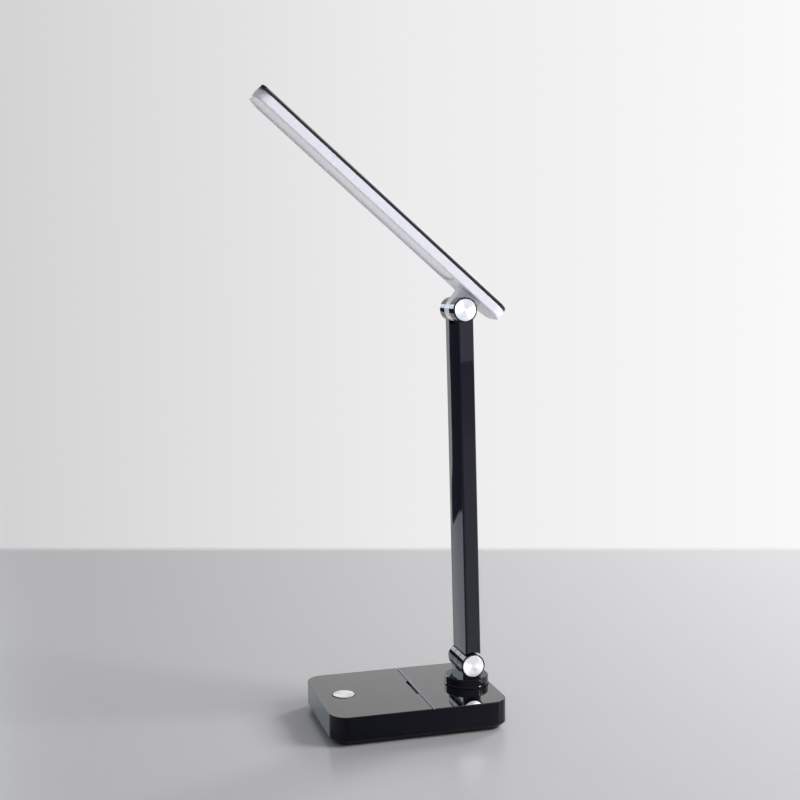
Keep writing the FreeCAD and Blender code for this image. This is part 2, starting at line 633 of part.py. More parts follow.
# Power button
def power_button():
    top = "(base_height + button_proud)"
    cap = new_body("button_cap")
    foot = f"{top} - button_thickness"
    revolve(cap, "disc", ("0", foot), ("button_radius", foot), ("button_radius", f"{top} - button_bevel"),
            ("button_radius - button_bevel", top), ("0", top))
    finish(cap, "power_button", "base")
    bind(cap, "Placement.Base.y", BUTTON_Y)
    plunger = new_body("plunger")
    flange = f"({CEILING} - face_gap)"
    revolve(plunger, "stem", ("0", f"{flange} - plunger_flange_height - plunger_toe"),
            ("switch_stem_radius", f"{flange} - plunger_flange_height - plunger_toe"),
            ("switch_stem_radius", f"{flange} - plunger_flange_height"),
            ("plunger_flange", f"{flange} - plunger_flange_height"), ("plunger_flange", flange),
            ("plunger_radius", flange), ("plunger_radius", foot), ("0", foot))
    finish(plunger, "button_plunger", "base")
    bind(plunger, "Placement.Base.y", BUTTON_Y)


# Hinge hardware that both joints share
KNUCKLE_SIDE = "(knuckle_length / 2)"
EAR_INSIDE = "(knuckle_length / 2 + side_gap)"
EAR_OUTSIDE = "(joint_length / 2)"
CAP_SEAT = "(joint_length / 2 + cap_proud - cap_thickness)"


def barrel(body, height):
    """A bevelled hinge barrel across the body at a height."""
    pad(body, "barrel", "YZ", f"-{EAR_OUTSIDE}", EAR_OUTSIDE, circle("ear_radius", "0", height))
    soften(body, "Chamfer", "barrel_bevel", "ear_bevel", end_rings(EAR_OUTSIDE, "ear_radius"))


def ear_cuts(body, height):
    """The pin hole and the disc seats of a pair of hinge ears."""
    pocket(body, "pin_hole", "YZ", f"-{EAR_OUTSIDE} - overrun", f"{EAR_OUTSIDE} + overrun",
           circle("pin_radius", "0", height))
    seat = circle("cap_radius + cap_gap", "0", height)
    pocket(body, "right_seat", "YZ", CAP_SEAT, f"{EAR_OUTSIDE} + overrun", seat)
    pocket(body, "left_seat", "YZ", f"-{EAR_OUTSIDE} - overrun", f"-{CAP_SEAT}", seat)


def hinge_hardware(joint, frame):
    """The pin, the two friction washers and the two metal discs of a hinge."""
    sheet_piece(f"{joint}_hinge_pin", frame, "YZ", f"-{CAP_SEAT} + face_gap",
                f"{CAP_SEAT} - face_gap", circle("pin_radius"))
    rings = []
    for side, low, high in (("right", f"{KNUCKLE_SIDE} + face_gap", f"{EAR_INSIDE} - face_gap"),
                            ("left", f"-{EAR_INSIDE} + face_gap", f"-{KNUCKLE_SIDE} - face_gap")):
        disc = rod(f"{joint}_washer_{side}", "x", "washer_radius", low, high)
        hole = rod(f"{joint}_washer_hole_{side}", "x", "pin_radius + turn_gap",
                   f"{low} - overrun", f"{high} + overrun")
        rings.append(cut(f"{joint}_ring_{side}", disc, hole))
    finish(group(f"{joint}_ring_group", *rings), f"{joint}_friction_washers", frame)
    face = f"({EAR_OUTSIDE} + cap_proud)"
    for side, low, high in (("right", CAP_SEAT, face), ("left", f"-{face}", f"-{CAP_SEAT}")):
        disc = new_body(f"{joint}_cap_{side}")
        pad(disc, "disc", "YZ", low, high, circle("cap_radius"))
        soften(disc, "Chamfer", "rim", "cap_bevel", lambda e: near(abs(e.BoundBox.XMin), value(face)))
        finish(disc, f"{joint}_cap_{side}", frame)


# Swivel fork on the base
def swivel_fork():
    body = new_body("swivel_fork")
    barrel(body, "axis_height")
    half_x, half_y = "column_width / 2", "column_thickness / 2"
    pad(body, "column", "XY", "collar_height - collar_bevel", "axis_height",
        rounded(f"-{half_x}", half_x, f"-{half_y}", half_y, "column_round"))
    deck = f"({CEILING} - base_height)"
    end = f"({deck} - spring_washer - nut_height - 2 * face_gap)"
    low = "glide_thickness + 2 * face_gap"
    revolve(body, "collar", ("spindle_bore", end), ("spindle_radius", end), ("spindle_radius", low),
            ("flange_radius", low), ("flange_radius", f"{low} + flange_height / 2"),
            ("collar_radius", f"{low} + flange_height"), ("collar_radius", "collar_height - collar_bevel"),
            ("collar_radius - collar_bevel", "collar_height"), ("spindle_bore", "collar_height"))
    pocket(body, "knuckle_slot", "YZ", f"-{EAR_INSIDE}", EAR_INSIDE,
           circle("ear_radius + swing_gap", "0", "axis_height"))
    pocket(body, "wire_hole", "XY", "0", "axis_height", circle("spindle_bore"))
    ear_cuts(body, "axis_height")
    finish(body, "swivel_fork", "swivel")


def swivel_hardware():
    deck = f"({CEILING} - base_height)"
    hole = circle("spindle_radius + turn_gap")
    sheet_piece("slip_washer", "swivel", "XY", "face_gap", "face_gap + glide_thickness",
                circle("collar_radius"), hole)
    nut_top = f"({deck} - spring_washer - face_gap)"
    sheet_piece("spring_washer", "swivel", "XY", nut_top, f"{deck} - face_gap", circle("nut_radius"), hole)
    sheet_piece("swivel_nut", "swivel", "XY", f"{nut_top} - nut_height", nut_top,
                circle("nut_radius"), circle("spindle_radius"))


# Arm
ARM_SCREWS = ("cover_margin + channel_margin / 2", "arm_pitch - cover_margin - channel_margin / 2")


def arm_housing():
    body = new_body("arm_housing")
    barrel(body, "arm_pitch")
    half_x, reach = "arm_width / 2", "arm_width / 2 + overrun"
    pad(body, "beam", "XY", "pin_radius", "arm_pitch",
        rounded(f"-{half_x}", half_x, "-arm_front", "arm_rear", "arm_round"))
    flat = f"({half_x} - arm_round)"
    pad(body, "crown", "XY", "pin_radius", "arm_pitch", bow(f"-{flat}", flat, "-arm_front", "arm_crown"))
    pocket(body, "foot_hollow", "YZ", f"-({reach})", reach, circle("ear_radius + foot_gap"))
    pad(body, "knuckle", "YZ", f"-{KNUCKLE_SIDE}", KNUCKLE_SIDE, circle("ear_radius"))
    soften(body, "Chamfer", "knuckle_edges", "knuckle_bevel", end_rings(KNUCKLE_SIDE, "ear_radius"))
    pad(body, "tongue", "YZ", f"-{KNUCKLE_SIDE}", KNUCKLE_SIDE,
        rectangle("-tongue_thickness / 2", "tongue_thickness / 2",
                  "pin_radius", "ear_radius + tongue_thickness"))
    pocket(body, "fork_slot", "YZ", f"-{EAR_INSIDE}", EAR_INSIDE,
           rectangle("-ear_radius - overrun", "ear_radius + overrun", "arm_pitch - fork_depth",
                     "arm_pitch + ear_radius + overrun"))
    ear_cuts(body, "arm_pitch")
    pocket(body, "lower_pin_hole", "YZ", f"-{KNUCKLE_SIDE} - overrun", f"{KNUCKLE_SIDE} + overrun",
           circle("pin_radius + turn_gap"))
    seat = "cover_width / 2 + fit_gap"
    pocket(body, "cover_seat", "XZ", "-arm_rear - overrun", "-arm_rear + cover_thickness",
           rounded(f"-({seat})", seat, "cover_margin - fit_gap", "arm_pitch - cover_margin + fit_gap",
                   "cover_corner + fit_gap"))
    ends = "cover_margin + channel_margin"
    pocket(body, "channel", "XZ", "-arm_rear - overrun", "-arm_rear + cover_thickness + channel_depth",
           rounded("-channel_width / 2", "channel_width / 2", ends, f"arm_pitch - ({ends})",
                   "cover_corner"))
    pocket(body, "screw_holes", "XZ", "-arm_rear - overrun",
           "-arm_rear + cover_thickness + arm_screw_reach + face_gap",
           *[circle("arm_screw_radius + face_gap", "0", z) for z in ARM_SCREWS])
    finish(body, "arm_housing", "arm")


def arm_cover():
    body = new_body("arm_cover")
    face = "-arm_rear"
    pad(body, "plate", "XZ", face, f"{face} + cover_thickness",
        rounded("-cover_width / 2", "cover_width / 2", "cover_margin", "arm_pitch - cover_margin",
                "cover_corner"))
    pocket(body, "screw_holes", "XZ", f"{face} - overrun", f"{face} + cover_thickness + overrun",
           *[circle("arm_screw_radius + fit_gap", "0", z) for z in ARM_SCREWS])
    pocket(body, "screw_heads", "XZ", f"{face} - overrun", f"{face} + arm_screw_head_height",
           *[circle("arm_screw_head + fit_gap", "0", z) for z in ARM_SCREWS])
    finish(body, "arm_rear_cover", "arm")
    screws = []
    for i, z in enumerate(ARM_SCREWS):
        neck = "arm_rear - arm_screw_head_height"
        head = rod(f"arm_head_{i}", "y", "arm_screw_head", neck, "arm_rear - face_gap", "0", z)
        shank = rod(f"arm_shank_{i}", "y", "arm_screw_radius",
                    "arm_rear - cover_thickness - arm_screw_reach", f"{neck} + face_gap", "0", z)
        screws.append(join(f"arm_screw_{i}", head, shank))
    finish(group("arm_screw_group", *screws), "arm_screws", "arm")


def arm_wires():
    floor = "(arm_rear - cover_thickness - channel_depth)"
    ends = "(cover_margin + channel_margin + cover_corner)"
    wires = [rod(f"wire_{i}", "z", "wire_radius", ends, f"arm_pitch - {ends}", f"{sign} * wire_pitch / 2",
                 f"{floor} + wire_radius + face_gap") for i, sign in enumerate((-1, 1))]
    finish(group("wire_group", *wires), "arm_wires", "arm")


# Light head
FRAME_TOP = "(head_rise + frame_height)"
LID_TOP = "(head_rise + frame_height + lid_height)"
LIGHT_BOARD = ("(-head_reach + frame_rim + light_board_margin)", "(-window_start - light_board_margin)")
NECK_MIDDLE = "((neck_rear - neck_front) / 2)"
NECK_SCREWS = (f"{NECK_MIDDLE} - neck_screw_pitch / 2", f"{NECK_MIDDLE} + neck_screw_pitch / 2")


def head_outline(inset):
    """The head's rounded outline, drawn in by an inset."""
    half = f"head_width / 2 - ({inset})"
    return rounded(f"-({half})", half, f"-head_reach + {inset}", f"head_tail - ({inset})",
                   f"head_corner - ({inset})")


def window_outline(grow):
    """The light window, grown all round."""
    half = f"head_width / 2 - frame_rim + {grow}"
    return rounded(f"-({half})", half, f"-head_reach + frame_rim - ({grow})", f"-window_start + {grow}",
                   f"window_corner + {grow}")


def head_shell():
    body = new_body("frame")
    pad(body, "block", "XY", "head_rise", FRAME_TOP, head_outline("0"))
    soften(body, "Fillet", "lower_edge", "frame_edge", level_at("head_rise"))
    floor = "head_rise + frame_floor"
    pocket(body, "cavity", "XY", floor, f"{FRAME_TOP} + overrun", head_outline("frame_wall"))
    pocket(body, "window", "XY", "head_rise - overrun", f"{floor} + overrun", window_outline("0"))
    pocket(body, "screw_holes", "XY", "head_rise - overrun", f"{floor} + overrun",
           *[circle("neck_screw_radius + fit_gap", "0", y) for y in NECK_SCREWS])
    finish(body, "head_frame", "head")
    lid = new_body("lid")
    pad(lid, "plate", "XY", FRAME_TOP, LID_TOP, head_outline("0"))
    pad(lid, "tip", "XY", FRAME_TOP, LID_TOP,
        rounded("-head_width / 2", "head_width / 2", "-head_reach", "-window_start", "lid_corner"))
    soften(lid, "Fillet", "top_edge", "lid_edge", level_at(LID_TOP))
    half = "light_board_width / 2 + fit_gap"
    front, rear = LIGHT_BOARD
    pocket(lid, "board_seat", "XY", f"{FRAME_TOP} - overrun", f"{FRAME_TOP} + lid_recess",
           rectangle(f"-({half})", half, f"{front} - fit_gap", f"{rear} + fit_gap"))
    finish(lid, "head_top_cover", "head")


def head_light():
    low = "head_rise + frame_floor"
    sheet_piece("diffuser", "head", "XY", low, f"{low} + diffuser_thickness",
                window_outline("diffuser_lap"))
    front, rear = LIGHT_BOARD
    sheet_piece("led_board", "head", "XY", FRAME_TOP, f"{FRAME_TOP} + lid_recess",
                rectangle("-light_board_width / 2", "light_board_width / 2", front, rear))
    count = int(value("chip_count"))
    chips = []
    for i in range(count):
        y = f"({front} + (({rear}) - ({front})) * ({i} + 1 / 2) / chip_count)"
        for j in (-1, 1):
            x = f"({j} * chip_row_pitch / 2)"
            chips.append(block(f"chip_{len(chips)}", f"{x} - chip_width / 2", f"{x} + chip_width / 2",
                               f"{y} - chip_length / 2", f"{y} + chip_length / 2",
                               f"{FRAME_TOP} - chip_height", FRAME_TOP))
    finish(group("chip_group", *chips), "led_chips", "head")


def head_bracket():
    body = new_body("bracket")
    pad(body, "knuckle", "YZ", f"-{KNUCKLE_SIDE}", KNUCKLE_SIDE, circle("ear_radius"))
    pad(body, "neck", "YZ", f"-{KNUCKLE_SIDE}", KNUCKLE_SIDE,
        outline(("-ear_radius", "0"), ("ear_radius", "0"), ("neck_rear", "head_rise"),
                ("-neck_front", "head_rise")))
    soften(body, "Chamfer", "lug_bevel", "knuckle_bevel", lug_edges(KNUCKLE_SIDE, "head_rise"))
    pocket(body, "pin_hole", "YZ", f"-{KNUCKLE_SIDE} - overrun", f"{KNUCKLE_SIDE} + overrun",
           circle("pin_radius + turn_gap"))
    pocket(body, "screw_holes", "XY", "head_rise - neck_screw_reach - face_gap", "head_rise + overrun",
           *[circle("neck_screw_radius + face_gap", "0", y) for y in NECK_SCREWS])
    finish(body, "head_bracket", "head")
    seat = "(head_rise + frame_floor)"
    screws = []
    for i, y in enumerate(NECK_SCREWS):
        head = rod(f"neck_head_{i}", "z", "neck_screw_head", seat, f"{seat} + neck_screw_head_height",
                   "0", y)
        shank = rod(f"neck_shank_{i}", "z", "neck_screw_radius", "head_rise - neck_screw_reach",
                    f"{seat} + face_gap", "0", y)
        screws.append(join(f"neck_screw_{i}", head, shank))
    finish(group("neck_screw_group", *screws), "bracket_screws", "head")


base_housing()
front_panel()
bottom_cover()
base_fasteners_and_grip()
base_contents()
charging_port()
power_button()
swivel_fork()
swivel_hardware()
hinge_hardware("lower", "fork_axis")
arm_housing()
arm_cover()
arm_wires()
hinge_hardware("upper", "arm_top")
head_shell()
head_light()
head_bracket()
doc.recompute()

# Every object and every piece has to be sound before anything is written
failed = [thing.Label for thing in doc.Objects if {"Invalid", "Error"} & set(thing.State)]
for piece in pieces:
    if piece.Shape.isNull() or not piece.Shape.isValid() or not piece.Shape.Solids:
        failed.append(piece.Label)
if failed:
    raise ValueError("not sound: " + ", ".join(failed))
os.makedirs("parts", exist_ok=True)
for piece in pieces:
    piece.Shape.exportStep(f"parts/{piece.Label}.step")
print(len(pieces), "pieces,", sum(len(piece.Shape.Solids) for piece in pieces), "solids")
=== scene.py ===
# %% [markdown]
# # A folding desk lamp
# The lamp arrives from CAD as solids with their sizes, places and joints. This lesson gives those solids
# their finishes, turns the discs and screws that need finer surfaces, and lights the whole in a plain studio.
# Everything is in metres, in the CAD's own frame: the desk is at height zero, the head reaches towards -Y
# and the hinge pins lie along X.

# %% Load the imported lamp
import json
import bpy
import numpy as np
from mathutils import Matrix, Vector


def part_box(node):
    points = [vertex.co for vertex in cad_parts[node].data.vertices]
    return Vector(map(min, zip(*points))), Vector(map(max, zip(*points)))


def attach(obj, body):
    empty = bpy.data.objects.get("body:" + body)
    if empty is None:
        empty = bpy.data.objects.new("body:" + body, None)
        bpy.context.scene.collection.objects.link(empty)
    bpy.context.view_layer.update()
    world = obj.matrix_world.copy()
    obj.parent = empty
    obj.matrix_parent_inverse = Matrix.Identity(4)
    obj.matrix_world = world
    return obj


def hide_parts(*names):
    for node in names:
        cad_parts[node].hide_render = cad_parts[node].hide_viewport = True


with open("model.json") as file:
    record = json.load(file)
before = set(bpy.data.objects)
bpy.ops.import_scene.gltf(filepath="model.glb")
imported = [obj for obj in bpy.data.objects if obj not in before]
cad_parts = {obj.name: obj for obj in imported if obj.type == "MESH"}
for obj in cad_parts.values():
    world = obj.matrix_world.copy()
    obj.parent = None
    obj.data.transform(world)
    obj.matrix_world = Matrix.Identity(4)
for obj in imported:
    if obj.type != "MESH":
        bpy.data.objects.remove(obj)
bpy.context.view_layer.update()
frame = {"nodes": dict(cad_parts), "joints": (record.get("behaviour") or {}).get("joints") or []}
nodes = frame["nodes"]
scene = bpy.context.scene
scene.view_settings.view_transform = "Standard"
MM = 0.001

# %% [markdown]
# ## Camera
# The view was found by matching the base's corners, the hinge discs and the head's edges. A camera is a
# place, three turns and a focal length. Blender wants the last one in millimetres of a 36 mm sensor, so the
# pixels of the 800 pixel picture are scaled to that.

# %% Camera
def placed(right, up, out, place):
    """A matrix from three directions and a place."""
    matrix = np.eye(4)
    matrix[:3] = np.column_stack((right, up, out, place))
    return Matrix(matrix.tolist())


CAMERA_PLACE = np.array((0.8267, -0.2331, 0.3083))
AZIMUTH, PITCH, ROLL = np.radians((74.325, 5.892, -0.571))
FOCAL_PIXELS = 1283.6
PICTURE_PIXELS = 800
SENSOR_MM = 36

back = np.array((np.sin(AZIMUTH) * np.cos(PITCH), -np.cos(AZIMUTH) * np.cos(PITCH), np.sin(PITCH)))
level_right = np.array((np.cos(AZIMUTH), np.sin(AZIMUTH), 0))
level_up = np.cross(back, level_right)
ahead = np.array((-np.sin(AZIMUTH), np.cos(AZIMUTH), 0))
turned_right = np.cos(ROLL) * level_right + np.sin(ROLL) * level_up
turned_up = np.cos(ROLL) * level_up - np.sin(ROLL) * level_right

lens = bpy.data.cameras.new("lamp_camera")
lens.sensor_width = SENSOR_MM
lens.lens = FOCAL_PIXELS / PICTURE_PIXELS * SENSOR_MM
camera = bpy.data.objects.new("lamp_camera", lens)
camera.matrix_world = placed(turned_right, turned_up, back, CAMERA_PLACE)
scene.collection.objects.link(camera)
scene.camera = camera
print("lens", round(lens.lens, 2), "mm")

# %% [markdown]
# ## Shader helpers
# A finish is a small graph of nodes. It could be wired by hand in the editor, but a few helpers keep it short
# here: one adds a node with its options and its feeds, one starts a material with the numbers that are the
# same all over set on the shader itself, and one links what varies. Masks run from 0 to 1.

# %% Shader helpers
def put(tree, kind, feeds=None, **options):
    """Adds a node. Options are its settings, feeds its inputs, given as values or as other nodes' outputs."""
    made = tree.nodes.new(kind)
    for name, value in options.items():
        setattr(made, name, value)
    for socket, value in (feeds or {}).items():
        if isinstance(value, bpy.types.NodeSocket):
            tree.links.new(value, made.inputs[socket])
        else:
            made.inputs[socket].default_value = value
    return made


def finish_named(name, **sockets):
    """Starts a material: a Principled shader with its even values. Returns the material and its tree."""
    material = bpy.data.materials.new(name)
    material.use_nodes = True
    tree = material.node_tree
    for socket, value in sockets.items():
        tree.nodes["Principled BSDF"].inputs[socket.replace("_", " ")].default_value = value
    return material, tree


def feed(tree, **sockets):
    """Links the values that vary to a material's Principled shader."""
    for socket, value in sockets.items():
        tree.links.new(value, tree.nodes["Principled BSDF"].inputs[socket.replace("_", " ")])


def object_place(tree):
    """The place on a piece, in its own coordinates."""
    return put(tree, "ShaderNodeTexCoord").outputs["Object"]


def ramp(tree, value, start, end):
    """A mask that runs from 0 to 1 as a value runs from start to end."""
    return put(tree, "ShaderNodeMapRange", {"Value": value, "From Min": start, "From Max": end}).outputs[0]


def between(tree, share, low, high):
    """A number that runs from low to high as a mask runs from 0 to 1."""
    return put(tree, "ShaderNodeMapRange", {"Value": share, "To Min": low, "To Max": high}).outputs[0]


def tint(tree, share, first, second):
    """A colour that runs from the first to the second as a mask runs from 0 to 1. Each is a colour or a
    socket."""
    first, second = (c if isinstance(c, bpy.types.NodeSocket) else (*c, 1) for c in (first, second))
    mixed = put(tree, "ShaderNodeMix", {0: share, 6: first, 7: second}, data_type="RGBA")
    return mixed.outputs[2]


HELPERS = (put, finish_named, feed, object_place, ramp, between, tint)
print("helpers", [helper.__name__ for helper in HELPERS])

# %% [markdown]
# ## Moulded skin
# Every plastic piece came out of a steel mould, and each shows it in the same three ways: a slow waviness
# that bends reflections, a finer orange peel, and the handling marks and dust that gather later. Painted
# pictures could give these, but noise needs no files and stays sharp from near by. One node group gives all
# three, so each plastic only chooses how strongly they show.

# %% Moulded skin group
PEEL_SCALE, RUB_SCALE, DUST_SCALE = 900.0, 45.0, 420.0
RUB_START, RUB_FULL = 0.48, 0.72
SPECK_EDGE, SPECK_CORE = 0.09, 0.04


def group_named(name, inputs, outputs):
    """A shader node group with number inputs, given with their defaults, and number outputs."""
    group = bpy.data.node_groups.new(name, "ShaderNodeTree")
    for label, default in inputs.items():
        socket = group.interface.new_socket(label, in_out="INPUT", socket_type="NodeSocketFloat")
        socket.default_value = default
    for label in outputs:
        group.interface.new_socket(label, in_out="OUTPUT", socket_type="NodeSocketFloat")
    return group, put(group, "NodeGroupInput"), put(group, "NodeGroupOutput")


def moulded_skin():
    """The group: a height for the bump, and masks of smudges and of specks."""
    group, given, result = group_named("moulded_skin", {"Wave scale": 30, "Peel share": 0.05},
                                       ("Height", "Smudge", "Speck"))
    place = object_place(group)
    wave = put(group, "ShaderNodeTexNoise", {"Vector": place, "Scale": given.outputs[0], "Detail": 1.0})
    peel = put(group, "ShaderNodeTexNoise", {"Vector": place, "Scale": PEEL_SCALE, "Detail": 2.0})
    share = put(group, "ShaderNodeMath", {0: peel.outputs[0], 1: given.outputs[1]}, operation="MULTIPLY")
    height = put(group, "ShaderNodeMath", {0: wave.outputs[0], 1: share.outputs[0]}, operation="ADD")
    rub = put(group, "ShaderNodeTexNoise",
              {"Vector": place, "Scale": RUB_SCALE, "Detail": 5.0, "Roughness": 0.6})
    dust = put(group, "ShaderNodeTexVoronoi", {"Vector": place, "Scale": DUST_SCALE, "Randomness": 1.0})
    group.links.new(height.outputs[0], result.inputs["Height"])
    group.links.new(ramp(group, rub.outputs[0], RUB_START, RUB_FULL), result.inputs["Smudge"])
    group.links.new(ramp(group, dust.outputs["Distance"], SPECK_EDGE, SPECK_CORE), result.inputs["Speck"])
    return group


SKIN = moulded_skin()
print("group", SKIN.name, "with", len(SKIN.nodes), "nodes")

# %% [markdown]
# ## Moulded plastics
# The black is a piano gloss: almost no colour of its own, and a sharp reflection of the room. The base has a
# clear coat on its deck and, weaker, on its ends. The head and its neck are a white satin, but the neck's
# white is painted paler, as painted light where it sits in the shade between the hinge ears. The diffuser is
# a milky sheet, its white partly painted light from below the head. Each could be a graph of its own, but
# they are one recipe with different numbers, so one function makes them all.

# %% Recipe for plastics
def moulded(name, colour, worn_colour, roughness, worn_roughness, wave_mm,
            wave_scale=30.0, peel=0.05, **sockets):
    """A moulded plastic: its skin's waviness bends the normal, and smudges and specks dull its shine."""
    material, tree = finish_named(name, **sockets)
    look = {"Wave scale": wave_scale, "Peel share": peel}
    skin = put(tree, "ShaderNodeGroup", look, node_tree=SKIN).outputs
    marks = put(tree, "ShaderNodeMath", {0: skin["Smudge"], 1: skin["Speck"]}, operation="MAXIMUM")
    bump = put(tree, "ShaderNodeBump", {"Height": skin["Height"], "Strength": 1.0, "Distance": wave_mm * MM})
    feed(tree, Base_Color=tint(tree, skin["Speck"], colour, worn_colour), Normal=bump.outputs[0],
         Roughness=between(tree, marks.outputs[0], roughness, worn_roughness))
    return material


BLACK, DUST = (0.0012, 0.0013, 0.0045), (0.03, 0.03, 0.03)
GLOSS, SATIN = (0.03, 0.05), (0.24, 0.26)
PIANO_BLACK = moulded("piano_black", BLACK, DUST, *GLOSS, wave_mm=0.02, IOR=1.45)
print("first plastic", PIANO_BLACK.name)

# %% Base with a clear coat
COAT_EDGE = 0.2 * MM
END_START, END_FULL = 9 * MM, 4 * MM
DECK_HEIGHT, BASE_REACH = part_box("front_panel")[1][2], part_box("base_housing")[1][1]
DECK_COAT, END_COAT = 0.95, 0.3


def lacquer(material, height, deck_weight, reach, end_weight):
    """Adds a clear coat above a height, the base's deck, and near its reach to the front and rear, its
    ends."""
    tree = material.node_tree
    parts = put(tree, "ShaderNodeSeparateXYZ", {0: object_place(tree)}).outputs
    deck = put(tree, "ShaderNodeMapRange", {"Value": parts["Z"], "From Min": height - COAT_EDGE,
                                            "From Max": height, "To Max": deck_weight})
    along = put(tree, "ShaderNodeMath", {0: parts["Y"]}, operation="ABSOLUTE")
    ends = put(tree, "ShaderNodeMapRange", {"Value": along.outputs[0], "From Min": reach - END_START,
                                            "From Max": reach - END_FULL, "To Max": end_weight})
    both = put(tree, "ShaderNodeMath", {0: deck.outputs[0], 1: ends.outputs[0]}, operation="MAXIMUM")
    feed(tree, Coat_Weight=both.outputs[0])


BASE_BLACK = moulded("base_black", BLACK, DUST, *GLOSS, wave_mm=0.02,
                     IOR=1.22, Coat_Roughness=0.03, Coat_IOR=1.5)
lacquer(BASE_BLACK, DECK_HEIGHT, DECK_COAT, BASE_REACH, END_COAT)
print("coat above", round(DECK_HEIGHT / MM, 2), "mm and at", round(BASE_REACH / MM, 2), "mm to the ends")

# %% Other plastics
ARM_BLACK = moulded("arm_black", (0.0012, 0.0018, 0.0095), DUST, *GLOSS, wave_mm=1.2,
                    wave_scale=14.0, peel=0.002, IOR=1.47)
MATT_BLACK = moulded("black_matte", (0.012, 0.012, 0.013), (0.05, 0.05, 0.05), 0.5, 0.62, wave_mm=0.02,
                     wave_scale=300.0, peel=0.8)
HEAD_WHITE = moulded("head_white", (0.74, 0.74, 0.785), (0.70, 0.70, 0.72), *SATIN, wave_mm=0.01, peel=0.0)
# The neck's paler white is painted light: the same plastic as the head, lit where it sits in shade between
# the ears.
NECK_PAINTED_LIGHT_WHITE = moulded("neck_white_painted_light", (0.90, 0.90, 0.93), (0.80, 0.80, 0.82), *SATIN, wave_mm=0.01, peel=0.0)
# The diffuser's white is partly its own milky colour and partly painted light from below the head.
MILKY_AND_PAINTED_LIGHT = moulded("milky_diffuser", (0.92, 0.92, 0.93), (0.86, 0.86, 0.86), 0.14, 0.18, wave_mm=0.01, peel=0.01)
WIRE_RED = moulded("wire_jacket", (0.42, 0.03, 0.025), (0.5, 0.2, 0.2), 0.4, 0.5, wave_mm=0.01,
                   wave_scale=200.0)
PLASTICS = (PIANO_BLACK, BASE_BLACK, ARM_BLACK, MATT_BLACK, HEAD_WHITE, NECK_PAINTED_LIGHT_WHITE, MILKY_AND_PAINTED_LIGHT, WIRE_RED)
print("plastics", [plastic.name for plastic in PLASTICS])

# %% [markdown]
# ## Metals, rubber and boards
# The hidden pieces get honest finishes too, because the lamp can be taken apart: plated steel with a faint
# rub, pebbled rubber under the base, and a circuit board with copper runs below its green lacquer. Flat
# colours would do for a picture of the outside. A single texture each is nearly as simple, and still looks
# right when the piece is shown on its own.

# %% Steel and rubber
def plated_steel(name):
    """A bright plate with a fine rub in its colour and its shine."""
    material, tree = finish_named(name, Metallic=1.0)
    rub = put(tree, "ShaderNodeTexNoise", {"Vector": object_place(tree), "Scale": 350.0, "Detail": 6.0})
    feed(tree, Base_Color=tint(tree, rub.outputs[0], (0.46, 0.46, 0.47), (0.62, 0.62, 0.63)),
         Roughness=between(tree, rub.outputs[0], 0.2, 0.42))
    return material


def grip_rubber():
    """A dark rubber with pebbles a millimetre or so across."""
    material, tree = finish_named("grip_rubber")
    pebble = put(tree, "ShaderNodeTexVoronoi", {"Vector": object_place(tree), "Scale": 700.0})
    depth = pebble.outputs["Distance"]
    bump = put(tree, "ShaderNodeBump", {"Height": depth, "Distance": 0.08 * MM})
    feed(tree, Base_Color=tint(tree, depth, (0.02, 0.02, 0.02), (0.035, 0.035, 0.035)),
         Roughness=between(tree, depth, 0.75, 0.9), Normal=bump.outputs[0])
    return material


STEEL = plated_steel("plated_steel")
FOIL = plated_steel("battery_foil")
RUBBER = grip_rubber()
print("made", STEEL.name, FOIL.name, RUBBER.name)


# %% Boards and light chips
def lacquered_board(name, field, run):
    """A board whose copper runs show between the cells of a brick pattern."""
    material, tree = finish_named(name)
    cells = put(tree, "ShaderNodeTexBrick",
                {"Vector": object_place(tree), "Scale": 260.0, "Mortar Size": 0.04, "Bias": 0.0})
    feed(tree, Base_Color=tint(tree, cells.outputs["Fac"], field, run),
         Roughness=between(tree, cells.outputs["Fac"], 0.35, 0.25))
    return material


def phosphor():
    """The yellow gel on a light chip, with a fine grain."""
    material, tree = finish_named("light_chip")
    grain = put(tree, "ShaderNodeTexNoise", {"Vector": object_place(tree), "Scale": 4000.0})
    feed(tree, Base_Color=tint(tree, grain.outputs[0], (0.8, 0.62, 0.12), (0.9, 0.78, 0.3)),
         Roughness=between(tree, grain.outputs[0], 0.4, 0.6))
    return material


BOARD_GREEN = lacquered_board("circuit_board", (0.01, 0.09, 0.03), (0.03, 0.18, 0.06))
BOARD_WHITE = lacquered_board("light_board", (0.8, 0.8, 0.8), (0.7, 0.7, 0.66))
CHIP = phosphor()
print("made", BOARD_GREEN.name, BOARD_WHITE.name, CHIP.name)

# %% [markdown]
# ## Finishes on the solids
# Each solid is one moulded, stamped or bought piece, so it has one finish. Faces could have finishes of their
# own, but a real piece comes out of its mould in one colour, so a list from finish to pieces says it all. The
# discs and the button aren't in the list, because finer surfaces take their places below.

